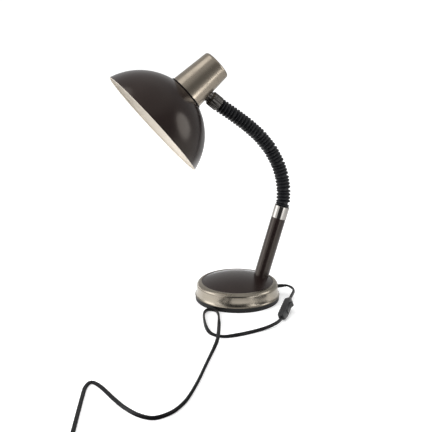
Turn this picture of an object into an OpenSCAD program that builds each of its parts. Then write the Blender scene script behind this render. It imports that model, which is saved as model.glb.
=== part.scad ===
// Desk lamp with a dome shade on a flexible neck.
// Origin: centre of the underside of the foot pad. +Z is up, the head hangs out towards -X,
// and the plane y = 0 holds the post, the neck and the axis of the head.

/* [Base] */
// Diameter of the metal ring at its bottom flare
ring_d = 140; // [132:1:160]
// How far the ring's wall draws in above the flare
ring_waist = 3; // [1:0.5:4]
// Height of the flared part of the wall
flare_h = 9; // [6:0.5:12]
// Height of the ring's wall, from the tray to the shoulder
ring_wall_h = 16.4; // [15:0.2:24]
// Height of the rounded flange above the shoulder
ring_flange_h = 5.8; // [5:0.2:10]
// Diameter of the opening that holds the cover
ring_open_d = 118.4; // [112:0.4:122]
// Thickness of the spun metal ring
ring_wall = 1; // [0.6:0.1:1.4]
// Depth of the ring's turned-down lip
ring_lip_h = 2.5; // [1.5:0.5:4]
// Height of the cover's crown above its edge
cover_crown = 11; // [6:0.5:13]
// Thickness of the cover
cover_wall = 1.2; // [0.8:0.1:1.6]
// Height of the black tray's rim
tray_h = 7.8; // [6:0.2:10]
// Thickness of the tray's floor
tray_floor = 1.6; // [1.2:0.2:2.4]
// Wall of the tray's rim
tray_wall = 2.6; // [2:0.2:4]
// Thickness of the foot pad
pad_h = 1.2; // [0.8:0.2:2]
// Diameter of the foot pad
pad_d = 122; // [100:2:126]
// Diameter of the weight at its step
weight_d = 127; // [116:1:129]
// Diameter of the weight inside the cover's skirt
weight_top_d = 114; // [104:1:115]
// Height of the weight above its step
weight_top_h = 4; // [2:0.5:5]

/* [Post] */
// Lean of the post from the vertical, in degrees
post_lean = 16.6; // [8:0.2:20]
// Distance of the post's foot from the middle of the base
post_x = 41.9; // [38:0.1:44]
// Outer diameter of the post
post_d = 24.3; // [22:0.1:26]
// Wall of the post
post_wall = 1.2; // [0.8:0.1:1.6]
// Length of the post between the cover and the collar
post_len = 101.8; // [70:0.2:150]
// How far the post goes down through the cover to the weight's boss
post_sink = 6; // [5:0.5:7]
// Thickness of the weight's boss between the post and the nut pocket
boss_h = 10; // [8:0.5:11]
// Diameter of the chrome collar
collar_d = 25; // [24.6:0.1:28]
// Height of the chrome collar
collar_h = 20.7; // [14:0.1:30]
// Depth of the collar's spigot inside the post
spigot_h = 12; // [8:1:18]

/* [Fasteners] */
// Diameter of the hollow threaded tubes
thread_d = 10; // [9.4:0.2:10.6]
// Bore of the hollow threaded tubes
thread_bore = 7; // [6.8:0.1:7.4]
// Size of the hexagon nuts across their flats
nut_af = 14; // [13:0.5:15]
// Height of the hexagon nuts
nut_h = 5; // [3:0.5:6]
// Diameter of the washer under the post's nut
washer_d = 19; // [16:0.5:20]
// Thickness of the washer
washer_h = 1.2; // [0.8:0.2:1.6]

/* [Neck sleeve] */
// Diameter over the ribs
rib_d = 23; // [21:0.2:23.4]
// Diameter in the valleys between the ribs
valley_d = 16.4; // [15.6:0.2:17]
// Distance from rib to rib
rib_pitch = 5.7; // [5.5:0.1:6.4]
// Width of the flat on a rib's crest
rib_tip = 1; // [0.6:0.1:1.2]
// Diameter of the steel gooseneck inside the sleeve
core_d = 11; // [10.4:0.2:11.4]
// Bore of the steel gooseneck
core_bore = 6.4; // [6.2:0.1:7]
// Gap between a link's round end and the next link's cup
cup_gap = 0.3; // [0.25:0.05:0.4]
// Half of the open groove between two links
link_gap = 1.45; // [1.3:0.05:1.6]
// Ribs on each of the three lower links
ribs_lower = 4; // [4:1:6]
// Ribs on each of the five upper links
ribs_upper = 5; // [4:1:6]

/* [Neck pose] */
// Bend at the collar
bend_1 = 15.5; // [6:0.5:17]
// Bend at the second joint
bend_2 = 10.5; // [4:0.5:14]
// Bend at the third joint
bend_3 = 9.5; // [4:0.5:14]
// Bend at the fourth joint
bend_4 = 10; // [4:0.5:14]
// Bend at the fifth joint
bend_5 = 10.5; // [4:0.5:14]
// Bend at the sixth joint
bend_6 = 8.5; // [4:0.5:14]
// Bend at the seventh joint
bend_7 = 5; // [0:0.5:14]
// Bend at the last joint
bend_8 = 2; // [0:0.5:14]

/* [Coupler] */
// Turn of the coupler's axis from the last link
coupler_turn = 4.5; // [0:0.5:8]
// Diameter of the fluted coupler
coupler_d = 23.6; // [22:0.2:26]
// Length of the fluted coupler
coupler_h = 20.5; // [16:0.5:26]
// Number of flutes
flutes = 8; // [6:1:12]
// Depth of a flute
flute_depth = 1; // [0.4:0.1:1.4]
// Diameter of the short neck between the coupler and the housing
coupler_neck_d = 18; // [15:0.5:20]
// Length of the short neck along the axis
coupler_neck_h = 4; // [3:0.5:8]
// Depth to which the sleeve goes into the coupler
sleeve_plug_h = 7; // [5:0.5:10]

/* [Head] */
// Lean of the head's axis from the vertical, in degrees
head_lean = 50; // [44:1:56]
// Diameter of the shade at its rim
shade_d = 191.6; // [170:0.4:210]
// Depth of the shade from its rim to the flat round the holder
shade_h = 70.5; // [66:0.5:80]
// Diameter of the shade's flat round the holder
shade_flat_d = 56.7; // [54:0.2:60]
// Thickness of the shade
shade_wall = 0.8; // [0.6:0.1:1.4]
// Diameter of the housing where it meets the shade
housing_d = 57.8; // [56:0.2:62]
// Diameter of the housing at its closed end
housing_top_d = 48.5; // [47:0.5:56]
// Length of the housing
housing_h = 66; // [62:0.5:80]
// Thickness of the housing
housing_wall = 0.8; // [0.6:0.1:1.2]
// Rounding of the housing's closed end
housing_round = 4; // [2:0.5:6]
// Height of the dark ring between the shade and the housing
gasket_h = 1; // [0.6:0.1:2]
// Diameter of the dark ring
gasket_d = 60.6; // [58:0.2:64]
// Height above the shade at which the coupler meets the housing
coupler_up = 24; // [20:0.5:28]

/* [Lamp holder] */
// Diameter of the holder's threaded skirt
skirt_d = 39; // [38:0.2:39.6]
// Length of the skirt below the shade
skirt_h = 12; // [10:0.5:16]
// Diameter of the holder's shoulder
shoulder_d = 47; // [44:0.5:48]
// Thickness of the shoulder
shoulder_h = 2.5; // [2:0.5:4]
// Diameter of the holder's upper body
holder_d = 33; // [32:0.2:34]
// Height of the holder above the shade
holder_h = 40; // [38:0.5:44]
// Height of the boss on the holder
holder_boss_h = 3; // [2:0.5:5]
// Height of the bulb's contact above the shade's flat
contact_up = 18; // [16:0.5:20]
// Diameter of the ring nut
ring_nut_d = 52; // [48:0.5:58]
// Height of the ring nut
ring_nut_h = 8; // [6:0.5:9]
// Inner diameter of the screw shell
shell_d = 27; // [26.8:0.1:27.4]
// Thickness of the screw shell
shell_wall = 0.5; // [0.4:0.1:0.8]
// Thickness of the steel bracket that carries the holder
bracket_t = 1.5; // [1:0.1:2]
// Width of the bracket
bracket_w = 15; // [14:0.5:16]
// Diameter of the bulb's glass
bulb_d = 45; // [40:1:60]
// Length of the bulb from its contact to its tip
bulb_h = 78; // [76:1:84]
// Diameter of the bulb's cap
bulb_cap_d = 26.2; // [26:0.1:26.4]
// Height of the bulb's cap
bulb_cap_h = 26; // [24:0.5:28]

/* [Cord] */
// Width of the flat two-core cord
cord_w = 5.6; // [5.2:0.1:5.8]
// Thickness of the flat cord
cord_t = 3.5; // [3.2:0.1:3.8]
// Turn of the cord outlet round the base, in degrees
outlet_turn = -6; // [-12:1:6]
// Height of the cord outlet
outlet_z = 15.6; // [14:0.2:16]
// Reach of the strain relief from the middle of the base
relief_reach = 75.4; // [74:0.2:80]
// Turns in the put-away coil
coil_turns = 3.25; // [2.75:0.25:4.25]
// Radius of the coil's outermost turn
coil_r = 33; // [30:0.5:40]
// Distance between neighbouring turns
coil_pitch = 4.2; // [4.1:0.1:5]

/* [Cord switch] */
// Length of the switch
switch_l = 57; // [54:1:70]
// Width of the switch
switch_w = 11.4; // [11:0.2:14]
// Thickness of the switch without its rocker
switch_t = 11.6; // [11:0.2:14]
// Wall of the switch's shells
switch_wall = 1.6; // [1.2:0.1:2]
// Length of the rocker
rocker_l = 28; // [24:0.5:30]
// Width of the rocker
rocker_w = 6.8; // [6:0.2:7]
// Rocking angle between off and on, in degrees
rocker_swing = 14; // [10:1:16]

/* [Plug] */
// Width of the flat plug
plug_w = 35.3; // [33:0.1:36]
// Thickness of the flat plug
plug_t = 13.7; // [12:0.1:15]
// Length of the plug's body
plug_l = 36; // [34:1:42]
// Diameter of the pins
pin_d = 4; // [3.8:0.1:4.2]
// Length of the pins
pin_l = 19; // [16:1:20]
// Distance between the pins
pin_gap = 18.6; // [17.6:0.1:19.2]

/* [Hidden] */
$fn = 96;

// Clearances shared by the pieces
slip = 0.1;          // pieces that slide into each other
loose = 0.3;         // pieces that pass each other
eps = 0.01;          // overshoot of a cut past the face it opens

// ---- general helpers ----
function dirv(a) = [sin(a), 0, cos(a)];
function sum(v, n) = n <= 0 ? 0 : v[n - 1] + sum(v, n - 1);
function arc(x, y, r, a0, a1, n) =
    [for (i = [0:n]) let (a = a0 + (a1 - a0) * i / n) [x + r * cos(a), y + r * sin(a)]];
function ellipse(x, y, rx, ry, a0, a1, n) =
    [for (i = [0:n]) let (a = a0 + (a1 - a0) * i / n) [x + rx * cos(a), y + ry * sin(a)]];
function unit(v) = v / norm(v);

// A tube ring of outer radius r1 and bore radius r0
module pipe(r1, r0, z0, z1) {
    translate([0, 0, z0])
        difference() {
            cylinder(r = r1, h = z1 - z0);
            translate([0, 0, -eps]) cylinder(r = r0, h = z1 - z0 + 2 * eps);
        }
}

// A hexagon nut with a plain bore
module hex_nut(z0, h, bore_r) {
    translate([0, 0, z0])
        difference() {
            cylinder(r = nut_af / sqrt(3), h = h, $fn = 6);
            translate([0, 0, -eps]) cylinder(r = bore_r, h = h + 2 * eps);
        }
}

// ---- sweeping a flat cord along a route ----
// A route point is [x, y, z, roll]: roll 0 lays the flat side down, 90 stands it on edge.
function spline(p, q, r, s, t) =
    0.5 * (2 * q + (r - p) * t + (2 * p - 5 * q + 4 * r - s) * t * t
        + (3 * q - p - 3 * r + s) * t * t * t);
function smooth(pts, steps) = concat(
    [for (i = [0:len(pts) - 2], k = [0:steps - 1])
        spline(pts[max(i - 1, 0)], pts[i], pts[i + 1], pts[min(i + 2, len(pts) - 1)], k / steps)],
    [pts[len(pts) - 1]]);
function xyz(p) = [p[0], p[1], p[2]];
function tangent(pts, i, first, last) =
    i == 0 ? first : i == len(pts) - 1 ? last : unit(xyz(pts[i + 1]) - xyz(pts[i - 1]));
function sweep_ring(p, t, w, h, up, sides) =
    let (side = unit(cross(t, up)), top = cross(side, t),
         a = side * cos(p[3]) + top * sin(p[3]), b = top * cos(p[3]) - side * sin(p[3]))
    [for (k = [0:sides - 1]) let (q = 360 * (k + 0.5) / sides)
        xyz(p) + a * (w / 2 * cos(q)) + b * (h / 2 * sin(q))];
// The flats of a section with 8 sides lie at the cord's width and thickness
fat = 1 / cos(22.5);
corner = tan(22.5) / 2;
// Half height of the rolled section, and a route that lies on the table where it would go below
function half_rise(roll) = max(
    cord_w / 2 * abs(sin(roll)) + corner * cord_t * abs(cos(roll)),
    corner * cord_w * abs(sin(roll)) + cord_t / 2 * abs(cos(roll)));
function lay(pts) = [for (p = pts) [p[0], p[1], max(p[2], half_rise(p[3])), p[3]]];
module flat_cord(route, up, first, last) {
    color([0.13, 0.13, 0.13])
        sweep(lay(smooth(route, 2)), cord_w * fat, cord_t * fat, up, 8, first, last);
}
module sweep(pts, w, h, up, sides, first, last) {
    n = len(pts);
    rings = [for (i = [0:n - 1]) each
        sweep_ring(pts[i], tangent(pts, i, first, last), w, h, up, sides)];
    walls = [for (i = [0:n - 2], k = [0:sides - 1]) let (m = (k + 1) % sides)
        each [[i * sides + k, (i + 1) * sides + m, (i + 1) * sides + k],
              [i * sides + k, i * sides + m, (i + 1) * sides + m]]];
    near_cap = [for (k = [1:sides - 2]) [0, k + 1, k]];
    far_cap = [for (k = [1:sides - 2]) let (o = (n - 1) * sides) [o, o + k, o + k + 1]];
    polyhedron(points = rings, faces = concat(walls, near_cap, far_cap), convexity = 10);
}

// ---- base ----
ring_r = ring_d / 2;
waist_r = ring_r - ring_waist;
ring_grow = ring_r - 70;     // what the ring holds has its sizes given for a ring of 70 mm radius
shoulder_z = tray_h + ring_wall_h;
ring_top = shoulder_z + ring_flange_h;
open_r = ring_open_d / 2;
open_grow = open_r - 59.2;   // and what the opening holds for an opening of 59.2 mm radius
tray_r = ring_r - 0.8;
tray_top = pad_h + tray_floor;
cover_r = open_r - loose;
cover_edge_z = ring_top - 0.6;
cover_sphere_r = (cover_r * cover_r + cover_crown * cover_crown) / (2 * cover_crown);
cover_centre_z = cover_edge_z + cover_crown - cover_sphere_r;
weight_step_z = shoulder_z - 2.2;
weight_r = weight_d / 2 + ring_grow;
weight_top_r = weight_top_d / 2 + open_grow;
function cover_z(x) = cover_centre_z + sqrt(cover_sphere_r * cover_sphere_r - x * x);

// ---- post ----
post_r = post_d / 2;
post_dir = dirv(post_lean);
post_foot = [post_x, 0, cover_z(post_x)];
function on_post(t) = post_foot + t * post_dir;
module at_post(t) translate(on_post(t)) rotate([0, post_lean, 0]) children();
seat_t = -post_sink - boss_h;
boss_r = 15;
pocket_r = 11;
nipple_end_t = seat_t - washer_h - nut_h - 0.8;
nipple_top_t = 4;
plug_top_t = 6;

// ---- neck ----
neck_start = on_post(post_len + collar_h);
bends = [bend_1, bend_2, bend_3, bend_4, bend_5, bend_6, bend_7, bend_8];
link_ribs = [1, ribs_lower, ribs_lower, ribs_lower,
    ribs_upper, ribs_upper, ribs_upper, ribs_upper, ribs_upper];
last_link = len(bends);
function link_len(i) = link_ribs[i] * rib_pitch;
function link_dir(i) = post_lean - sum(bends, i);
function link_start(i) =
    i == 0 ? neck_start : link_start(i - 1) + link_len(i - 1) * dirv(link_dir(i - 1));
module at_link(i) translate(link_start(i)) rotate([0, link_dir(i), 0]) children();
rib_r = rib_d / 2;
ball_r = valley_d / 2;
cup_r = ball_r + cup_gap;
core_r = core_d / 2;
core_hole_r = core_r + slip;
ball_open = 62;      // angle at which a link's round end is cut open for the flex
core_low_z = cup_r - 0.4;
recess_h = 4;        // depth of the collar's recess round the sleeve
recess_wall = 0.8;
shoulder_t = -collar_h - spigot_h + 2.7;
foot_end_t = -collar_h - spigot_h - nut_h - 3;

// ---- head ----
coupler_dir = link_dir(last_link) + coupler_turn;
neck_end = link_start(last_link) + link_len(last_link) * dirv(link_dir(last_link));
housing_z = shade_h + gasket_h;
housing_r = housing_d / 2;
housing_top_r = housing_top_d / 2;
function housing_wall_r(z) =
    housing_r + (housing_top_r - housing_r) * (z - housing_z) / housing_h;
coupler_z = shade_h + coupler_up;
coupler_reach = coupler_h + coupler_neck_h;
wall_cut = 12;       // height of the cut that lets the coupler's thread through the wall
coupler_seat = neck_end + coupler_reach * dirv(coupler_dir);
head_pos = coupler_seat - coupler_z * dirv(head_lean)
    - housing_wall_r(coupler_z) * dirv(head_lean + 90);
module at_head() translate(head_pos) rotate([0, head_lean, 0]) children();
// The coupler's frame inside the head: origin on the housing's wall, +Z towards the neck
module at_coupler()
    translate([housing_wall_r(coupler_z), 0, coupler_z])
        rotate([0, coupler_dir - head_lean + 180, 0]) children();
// The dome is part of the sphere through its rim and the edge of its flat
shade_centre_z = (shade_flat_d * shade_flat_d - shade_d * shade_d) / (8 * shade_h) + shade_h / 2;
shade_r = norm([shade_d / 2, shade_centre_z]);
holder_top = shade_h + holder_h;
bracket_z = holder_top + holder_boss_h;
contact_z = shade_h + contact_up;

// ---- cord ----
outlet_dir = [cos(outlet_turn), sin(outlet_turn), 0];
relief_tip = relief_reach + ring_grow;
function outlet_at(r) = [r * outlet_dir[0], r * outlet_dir[1], outlet_z];
switch_pos = [48.5, -95, 10.9];
switch_yaw = 55.5;
switch_tilt = 9;     // the springy cord holds the switch's rear end off the table
switch_roll = 20;
switch_dir = [cos(switch_tilt) * cos(switch_yaw), cos(switch_tilt) * sin(switch_yaw), sin(switch_tilt)];
switch_rear = switch_pos + switch_dir * switch_l / 2;
switch_fore = switch_pos - switch_dir * switch_l / 2;
cord_turn = 90 - switch_roll;
// The coil lies on edge in two layers: in on the lower one, out again on the upper one
coil_pos = [-319, -438, 0];
coil_from = 162;     // angle at which the cord enters the coil
coil_low = cord_w / 2;
coil_high = coil_low + cord_w + 0.7;
coil_half = coil_turns * 180;
function coil_radius(a) = coil_r - coil_pitch * min(a, 2 * coil_half - a) / 360;
function coil_height(a) =
    coil_low + (coil_high - coil_low) * (1 - cos(180 * min(max((a - coil_half) / 180 + 0.5, 0), 1))) / 2;
function coil_point(a) = coil_pos
    + [coil_radius(a) * cos(coil_from + a), coil_radius(a) * sin(coil_from + a), coil_height(a)];
coil_steps = round(24 * coil_turns);
coil_body = [for (k = [0:coil_steps]) coil_point(2 * coil_half * k / coil_steps)];
coil_in_dir = [-sin(coil_from), cos(coil_from), 0];
coil_out = coil_from + 2 * coil_half;
coil_out_dir = [-sin(coil_out), cos(coil_out), 0];
coil_in = coil_body[0] - cord_w * coil_in_dir;
coil_end = coil_body[coil_steps] + cord_w * coil_out_dir;
coil_path = [for (p = concat([coil_in], coil_body, [coil_end])) concat(p, 90)];
// Least gap between turns: the distance of two centres less the two half sections towards each other
function turn_gap(d) = let (q = norm([norm([d[0], d[1]]) / cord_t, d[2] / cord_w]))
    norm(d) * (1 - 1 / q);
function path_gap(p, far) = min([for (i = [0:len(p) - 1], j = [i + far:1:len(p) - 1])
    turn_gap(xyz(p[i]) - xyz(p[j]))]);
function run(p, n) = n < 1 ? 0 : norm(xyz(p[n]) - xyz(p[n - 1])) + run(p, n - 1);
echo(coil_least_gap = path_gap(coil_path, 12));

upper_route = [
    concat(outlet_at(relief_tip), 0), concat(outlet_at(relief_tip + 4), 5),
    [84.5, -11, 15.9, 25], [87, -20.5, 16.3, 50], [87, -31, 16.6, 65], [83.5, -42, 16.8, 70],
    concat(switch_rear + switch_dir * 12, cord_turn), concat(switch_rear + switch_dir * 6, cord_turn),
    concat(switch_rear, cord_turn)
];
lower_route = [
    concat(switch_fore, cord_turn), concat(switch_fore - switch_dir * 5, cord_turn),
    [19, -132.6, 5.2, 80], [-1, -142, 3.7, 85], [-25, -148.7, 3.1, 85], [-50, -153, 2.9, 60],
    [-73, -151, 2, 10], [-87, -136, 2, 10], [-88, -112, 2.6, 50], [-82, -80, 2.9, 85],
    [-74, -54, 2.9, 85], [-63, -43, 2.9, 85], [-53.9, -50.5, 2.9, 85], [-54.4, -66, 2.9, 85],
    [-59, -84, 3.2, 75], [-65, -103.5, 4, 38], [-73, -127, 5.5, 8], [-82, -152, 5.9, 5],
    [-91, -173, 5, 25], [-104, -196, 3.4, 70], [-125, -233.5, 2.9, 85],
    [-150, -279.5, 2.9, 85], [-176, -322.5, 2.9, 85], [-192.5, -343.5, 2.9, 85],
    [-210, -358.5, 2.9, 85], [-232, -365.5, 2.9, 85], [-248, -355, 2.9, 75],
    [-261, -331, 2.8, 55], [-270, -301, 2.5, 35], [-280, -259, 2.2, 15], [-289, -242, 1.9, 5],
    [-299, -253.5, 1.9, 0], [-307, -277, 1.9, 0], [-319.5, -318, 1.9, 0], [-333, -363, 1.9, 5],
    [-342.5, -394, 2.4, 45], concat(coil_in - 6 * coil_in_dir, 90), concat(coil_in, 90)
];
plug_dir = coil_out_dir;
plug_tail_h = 20;
tail_reach = 54;
function tail_at(d, z) = [coil_end[0] + d * plug_dir[0], coil_end[1] + d * plug_dir[1], z];
plug_start = tail_at(tail_reach, plug_t / 2);
tail_route = [
    concat(coil_end, 90), concat(tail_at(6, coil_high), 90), concat(tail_at(20, coil_high - 0.6), 85),
    concat(tail_at(36, plug_t / 2 + 0.4), 85), concat(tail_at(tail_reach - 6, plug_t / 2), 90),
    concat(plug_start, 90)
];

function length(p) = run(p, len(p) - 1);
echo(upper = length(smooth(upper_route, 2)), lower = length(smooth(lower_route, 2)),
    coil = length(coil_path), tail = length(smooth(tail_route, 2)));

// ================= base pieces =================
module foot_pad() {
    color([0.12, 0.12, 0.12]) cylinder(r = pad_d / 2, h = pad_h);
}

screw_ring_r = 50;
screw_turns = [60, 180, 300];
screw_head_r = 3.4;
screw_shaft_r = 1.9;
screw_depth = 12;
module at_screws() for (a = screw_turns) rotate([0, 0, a]) translate([screw_ring_r, 0, 0]) children();

module base_tray() {
    color([0.08, 0.08, 0.08]) difference() {
        translate([0, 0, 0.3]) cylinder(r = tray_r, h = tray_h - 0.3);
        translate([0, 0, tray_top]) cylinder(r = tray_r - tray_wall, h = tray_h);
        translate([0, 0, -eps]) cylinder(r = pad_d / 2 + loose, h = pad_h + eps);
        at_screws() {
            translate([0, 0, pad_h - eps]) cylinder(r1 = screw_head_r + 0.2, r2 = screw_shaft_r + 0.2,
                h = tray_floor + 2 * eps);
        }
    }
}

module tray_screws() {
    color([0.6, 0.6, 0.6]) at_screws() {
        translate([0, 0, pad_h]) cylinder(r1 = screw_head_r, r2 = screw_shaft_r, h = tray_floor);
        translate([0, 0, tray_top - eps]) cylinder(r = screw_shaft_r, h = screw_depth - 1);
    }
}

channel_w = 16;
channel_top = outlet_z + 4;
module base_weight() {
    color([0.3, 0.3, 0.32]) difference() {
        union() {
            translate([0, 0, tray_top]) cylinder(r = weight_r, h = weight_step_z - tray_top);
            translate([0, 0, weight_step_z - 1]) cylinder(r = weight_top_r, h = weight_top_h + 1);
            at_post(-post_sink - 24) cylinder(r = boss_r, h = 24);
        }
        at_post(-ring_d / 2) cylinder(r = pocket_r, h = ring_d / 2 + seat_t);
        at_post(-ring_d / 2) cylinder(r = thread_d / 2 + 2 * slip, h = ring_d);
        at_post(-post_sink) cylinder(r = post_r + loose, h = ring_d / 2);
        rotate([0, 0, outlet_turn]) translate([28, -channel_w / 2, 0])
            cube([ring_r, channel_w, channel_top]);
        cylinder(r = ring_r * 2, h = tray_top);
        at_screws() translate([0, 0, tray_top - eps]) cylinder(r = screw_shaft_r + slip, h = screw_depth);
    }
}

module base_ring() {
    steps = 7;
    flare = [for (i = [0:steps]) let (a = 90 * i / steps)
        [ring_r - ring_waist * sin(a), tray_h + flare_h * (1 - cos(a))]];
    crease = 0.6;
    flange_w = waist_r - crease - open_r;
    outer = concat(flare, [[waist_r, shoulder_z]],
        ellipse(open_r, shoulder_z + 0.4, flange_w, ring_flange_h - 0.4, 0, 90, 8));
    lip = [[open_r, ring_top - ring_lip_h], [open_r + ring_wall, ring_top - ring_lip_h]];
    inner = concat(
        [for (p = ellipse(open_r, shoulder_z + 0.4, flange_w - ring_wall,
            ring_flange_h - 0.4 - ring_wall, 78, 0, 7)) p],
        [[waist_r - ring_wall, shoulder_z - 0.6]],
        [for (i = [steps:-1:0]) flare[i] - [ring_wall, 0]]);
    color([0.72, 0.69, 0.64]) difference() {
        rotate_extrude() polygon(concat(outer, lip, inner));
        at_outlet() intersection() {
            translate([0, 0, waist_r - 6]) cylinder(r = relief_hole_r, h = 12);
            translate([0, 0, waist_r]) cube([relief_flat_h + 2 * slip, 20, 20], center = true);
        }
    }
}

module base_cover() {
    color([0.2, 0.16, 0.15]) difference() {
        intersection() {
            translate([0, 0, cover_centre_z]) sphere(r = cover_sphere_r);
            translate([0, 0, weight_step_z]) cylinder(r = cover_r, h = cover_crown * 3);
        }
        intersection() {
            translate([0, 0, cover_centre_z]) sphere(r = cover_sphere_r - cover_wall);
            translate([0, 0, weight_step_z - 1])
                cylinder(r = cover_r - cover_wall, h = cover_crown * 3);
        }
        at_post(-20) cylinder(r = post_r + slip, h = 40);
    }
}

// ================= cord outlet =================
relief_hole_r = 4.4;
relief_flat_h = 4.9;
relief_in = waist_r - 5;     // distance of the strain relief's inner end from the middle of the base
module at_outlet() rotate([0, 0, outlet_turn]) translate([0, 0, outlet_z]) rotate([0, 90, 0]) children();
// The cord's section grown by g, its width along y
module cord_section(g) {
    polygon([for (k = [0:7]) let (q = 45 * k + 22.5)
        fat * [(cord_t / 2 + g) * cos(q), (cord_w / 2 + g) * sin(q)]]);
}
wall_out = waist_r + 0.45;
module cord_relief() {
    profile = [
        [0, relief_in], [3.8, relief_in], [3.8, wall_out - 4], [5.6, wall_out - 4], [5.6, wall_out - 1.7],
        [relief_hole_r - 0.2, wall_out - 1.7], [relief_hole_r - 0.2, wall_out], [5.2, wall_out],
        [5.2, wall_out + 1], [4.4, wall_out + 1.6], [3.5, relief_tip], [0, relief_tip]
    ];
    color([0.1, 0.1, 0.1]) at_outlet() difference() {
        intersection() {
            rotate_extrude() polygon(profile);
            translate([0, 0, ring_r]) cube([relief_flat_h, 20, ring_r], center = true);
        }
        translate([0, 0, relief_in - 1]) linear_extrude(height = relief_tip) cord_section(slip / 2);
    }
}

// The flex lies in the plane of the outlet at first, then follows the post's axis
module inner_flex_base() {
    route = concat(
        [concat(outlet_at(relief_tip), 90), concat(outlet_at(relief_in + 8), 90),
         concat(outlet_at(relief_in), 90), concat(outlet_at(relief_in - 3), 90),
         [53, -5.2, 13.2, 90], [47, -4.2, 8.8, 90], [41, -2.6, 6.6, 90], [36.6, -0.8, 8.6, 90]],
        [for (t = [nipple_end_t - 1, -9, 4, 20, 40, 60, 80, post_len - 14, post_len, post_len + 12,
            post_len + collar_h - 1]) concat(on_post(t), 90)]);
    flat_cord(route, [0, 1, 0.001], -outlet_dir, post_dir);
}

// ================= post pieces =================
module post_tube() {
    color([0.2, 0.16, 0.15]) at_post(0)
        pipe(post_r, post_r - post_wall, -post_sink, post_len);
}

module post_plug() {
    color([0.6, 0.6, 0.6]) at_post(0)
        pipe(post_r - post_wall - slip, thread_d / 2 + slip, -post_sink, plug_top_t);
}

module post_nipple() {
    color([0.75, 0.7, 0.5]) at_post(0)
        pipe(thread_d / 2, thread_bore / 2, nipple_end_t, nipple_top_t);
}

module post_washer() {
    color([0.6, 0.6, 0.6]) at_post(0)
        pipe(washer_d / 2, thread_d / 2 + slip, seat_t - washer_h, seat_t);
}

module post_nut() {
    color([0.65, 0.65, 0.65]) at_post(0)
        hex_nut(seat_t - washer_h - nut_h, nut_h, thread_d / 2 + slip);
}

module collar() {
    profile = [
        [core_hole_r, shoulder_t], [core_hole_r, -recess_h], [collar_d / 2 - recess_wall, -recess_h],
        [collar_d / 2 - recess_wall, -0.3], [collar_d / 2 - recess_wall + 0.3, 0],
        [collar_d / 2 - 0.3, 0], [collar_d / 2, -0.3], [collar_d / 2, -collar_h],
        [post_r - post_wall - slip, -collar_h], [post_r - post_wall - slip, -collar_h - spigot_h],
        [thread_d / 2 + slip, -collar_h - spigot_h], [thread_d / 2 + slip, shoulder_t]
    ];
    color([0.85, 0.85, 0.85]) at_link(0) rotate_extrude() polygon(profile);
}

// ================= neck =================
module gooseneck_foot() {
    color([0.6, 0.6, 0.62]) at_link(0) difference() {
        union() {
            translate([0, 0, shoulder_t]) cylinder(r = core_r, h = link_len(0) - shoulder_t);
            translate([0, 0, foot_end_t]) cylinder(r = thread_d / 2, h = shoulder_t - foot_end_t);
        }
        translate([0, 0, foot_end_t - 1]) cylinder(r = core_bore / 2, h = link_len(0) - foot_end_t + 2);
    }
}

module gooseneck_nut() {
    color([0.65, 0.65, 0.65]) at_link(0)
        hex_nut(-collar_h - spigot_h - nut_h, nut_h, thread_d / 2 + slip);
}

// The ribs of a link with n ribs whose length is h
function ribs(n, h) = [for (k = [0:n - 1]) each concat(
    [[rib_r, (k + 0.5) * rib_pitch - rib_tip / 2], [rib_r, (k + 0.5) * rib_pitch + rib_tip / 2]],
    k < n - 1 ? [[ball_r, (k + 1) * rib_pitch]] : [])];
// The round upper end: it turns in the next link's cup
function ball_end(h) = concat(
    arc(0, h, ball_r, -asin(link_gap / ball_r), ball_open, 9),
    arc(0, h, core_hole_r, ball_open, 0, 5));
// The lower end: a cup round the ball of the link before
cup_inner = asin(link_gap / cup_r);
function cup_end() = concat(
    arc(0, 0, cup_r, acos(core_hole_r / cup_r), cup_inner, 6),
    [[cup_r * cos(cup_inner) + 0.35, link_gap]]);

module sleeve_foot() {
    seat_r = collar_d / 2 - recess_wall - slip;
    profile = concat([[core_hole_r, -recess_h], [seat_r, -recess_h], [seat_r, -recess_h + 2.5],
        [ball_r, -recess_h + 3.5], [ball_r, 0]], ribs(link_ribs[0], link_len(0)), ball_end(link_len(0)));
    color([0.1, 0.1, 0.11]) at_link(0) rotate_extrude() polygon(profile);
}

module sleeve_link(i) {
    color([0.1, 0.1, 0.11]) at_link(i) rotate_extrude()
        polygon(concat(cup_end(), ribs(link_ribs[i], link_len(i)), ball_end(link_len(i))));
}

module gooseneck_link(i) {
    color([0.6, 0.6, 0.62]) at_link(i) pipe(core_r, core_bore / 2, core_low_z, link_len(i));
}

module sleeve_head() {
    h = link_len(last_link);
    color([0.1, 0.1, 0.11]) at_link(last_link) rotate_extrude()
        polygon(concat(cup_end(), ribs(link_ribs[last_link], h), [[ball_r, h - 1],
            [ball_r, h + sleeve_plug_h - loose], [core_hole_r, h + sleeve_plug_h - loose]]));
}

// Bent end fitting: it rides in the sleeve and its thread goes through the housing's wall
thin_nut_h = 2.2;
thread_in = 6;       // how far the thread stands inside the housing
module gooseneck_head() {
    h = link_len(last_link);
    stub = 3;
    color([0.6, 0.6, 0.62]) difference() {
        union() {
            at_link(last_link) translate([0, 0, core_low_z]) cylinder(r = core_r, h = h + stub - core_low_z);
            at_head() at_coupler() translate([0, 0, -thread_in])
                cylinder(r = thread_d / 2, h = coupler_reach + thread_in);
        }
        at_link(last_link) translate([0, 0, core_low_z - 1])
            cylinder(r = core_bore / 2, h = h - core_low_z + 1);
        at_head() at_coupler() translate([0, 0, -thread_in - 1])
            cylinder(r = core_bore / 2, h = coupler_reach + thread_in + 1);
        translate(neck_end) sphere(r = core_bore / 2 + 0.4);
    }
}

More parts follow.
